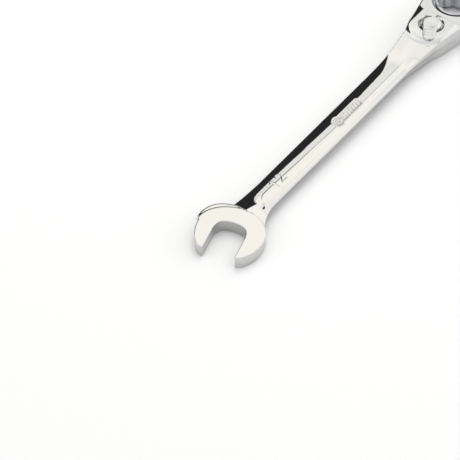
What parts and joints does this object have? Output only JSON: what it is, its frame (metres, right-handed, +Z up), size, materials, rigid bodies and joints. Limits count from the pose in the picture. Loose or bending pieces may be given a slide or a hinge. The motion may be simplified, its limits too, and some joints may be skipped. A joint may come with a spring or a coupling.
{
  "type": "combination wrench",
  "caption": "Slim chrome combination wrench: an angled open jaw at one end and a reversible ratchet ring with a thumb lever at the other.",
  "frame": {"origin": "bottom centre of the box around the whole wrench, lying flat on the ring head's underside", "axes": "+X along the shank from the open jaw to the ring, +Z up out of the lever's face"},
  "size_m": [0.1704, 0.0266, 0.0113],
  "materials": {
    "chrome": "bright nickel-chrome plate, polished",
    "hardened_steel": "ground, satin",
    "spring_steel": "dark, oiled",
    "rubber": "matt"
  },
  "bodies": {
    "wrench": {"wrench_body": "chrome", "gear_snap_ring": "spring_steel", "pawl_pin": "hardened_steel"},
    "gear": {"ratchet_gear": "hardened_steel"},
    "pawl": {"pawl": "hardened_steel"},
    "lever": {"reversing_lever": "chrome", "lever_o_ring": "rubber", "lever_snap_ring": "spring_steel", "detent_spring": "spring_steel"},
    "plunger": {"detent_plunger": "hardened_steel"}
  },
  "joints": [
    {"name": "gear_spin", "type": "hinge", "parent": "wrench", "child": "gear", "pos_m": [0.07304, 0.00088, 0.0047], "axis": [0, 0, 1], "continuous": true},
    {"name": "lever_turn", "type": "hinge", "parent": "wrench", "child": "lever", "pos_m": [0.05544, 0.00088, 0.0047], "axis": [0, 0, 1], "range_deg": [-50, 0]},
    {"name": "pawl_rock", "type": "hinge", "parent": "wrench", "child": "pawl", "pos_m": [0.06084, 0.00088, 0.0046], "axis": [0, 0, 1], "range_deg": [0, 14]},
    {"name": "plunger_press", "type": "slide", "parent": "lever", "child": "plunger", "axis": [-0.9063, -0.4226, 0], "range_m": [0, 0.0008], "stiffness_N_per_m": 800, "springref_m": -0.0005, "deforming": ["detent_spring"]}
  ],
  "couplings": [
    {"joint": "pawl_rock", "follows": "lever_turn", "ratio": -0.28}
  ]
}
